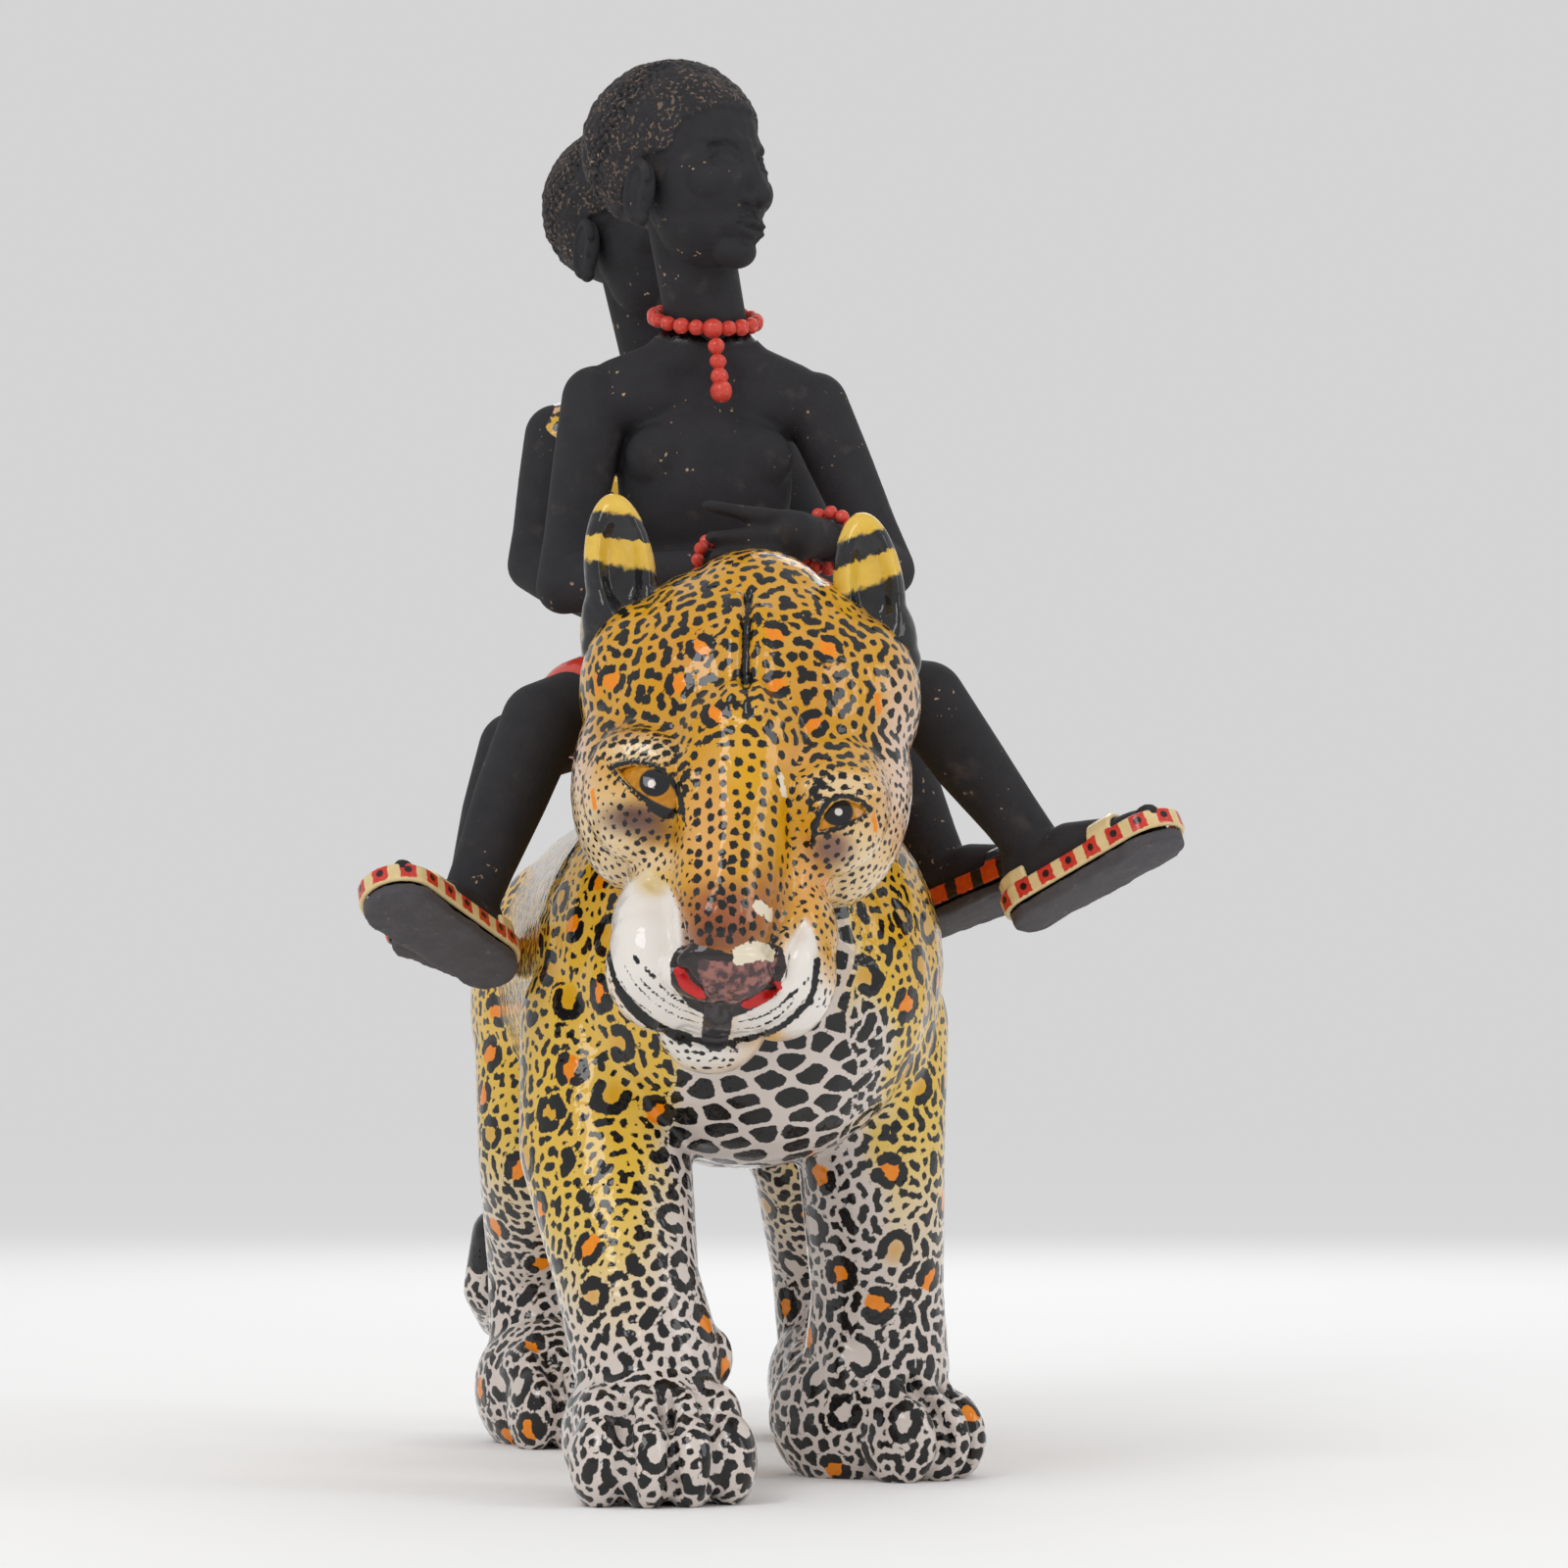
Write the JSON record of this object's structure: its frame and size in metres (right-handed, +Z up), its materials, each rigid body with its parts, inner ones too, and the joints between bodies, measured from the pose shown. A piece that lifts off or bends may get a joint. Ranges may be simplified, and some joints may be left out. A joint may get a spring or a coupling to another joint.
{
  "type": "ceramic leopard with riders",
  "caption": "Walking leopard of glazed clay with a curled tail and lowered head, carrying matte black clay riders in sandals and beads, standing on its paws.",
  "frame": {"origin": "middle of the outline on the ground, at the level of the paws' flat undersides", "axes": "+Z up, the leopard walks towards -Y, +X to the leopard's left"},
  "size_m": [0.2254, 0.348, 0.4024],
  "materials": {
    "painted_coat": "gloss glaze over hand-painted black spots on golden yellow fading to pinkish white",
    "ear_glaze": "gloss black with a yellow band and tip",
    "eye_glaze": "gloss amber with a dark pupil",
    "black_clay": "matte, unglazed",
    "sole_grey": "matte, unglazed",
    "strap_cream": "gloss cream with red squares and black dots",
    "strap_black": "gloss black with orange-red patches",
    "bead_red": "gloss coral red",
    "cloth_red": "gloss coral red",
    "tunic_print": "gloss yellow with dark spots"
  },
  "bodies": {
    "root": {"front_rider_head": "black_clay", "front_rider_left_arm": "black_clay", "front_rider_left_bracelet": "bead_red", "front_rider_left_ear": "black_clay", "front_rider_left_leg": "black_clay", "front_rider_left_sandal_sole": "sole_grey", "front_rider_left_sandal_strap": "strap_cream", "front_rider_necklace": "bead_red", "front_rider_pendant": "bead_red", "front_rider_right_arm": "black_clay", "front_rider_right_bracelet": "bead_red", "front_rider_right_ear": "black_clay", "front_rider_right_leg": "black_clay", "front_rider_right_sandal_sole": "sole_grey", "front_rider_right_sandal_strap": "strap_cream", "front_rider_torso": "black_clay", "front_rider_wrap": "cloth_red", "leopard_body": "painted_coat", "leopard_front_left_leg": "painted_coat", "leopard_front_right_leg": "painted_coat", "leopard_head": "painted_coat", "leopard_jaw": "painted_coat", "leopard_left_ear": "ear_glaze", "leopard_left_eye": "eye_glaze", "leopard_rear_left_leg": "painted_coat", "leopard_rear_right_leg": "painted_coat", "leopard_right_ear": "ear_glaze", "leopard_right_eye": "eye_glaze", "leopard_tail": "painted_coat", "rear_rider_head": "black_clay", "rear_rider_left_arm": "black_clay", "rear_rider_left_ear": "black_clay", "rear_rider_left_leg": "black_clay", "rear_rider_left_sandal_sole": "sole_grey", "rear_rider_left_sandal_strap": "strap_black", "rear_rider_right_arm": "black_clay", "rear_rider_right_ear": "black_clay", "rear_rider_right_leg": "black_clay", "rear_rider_right_sandal_sole": "sole_grey", "rear_rider_right_sandal_strap": "strap_black", "rear_rider_torso": "black_clay", "rear_rider_tunic": "tunic_print"}
  },
  "joints": []
}
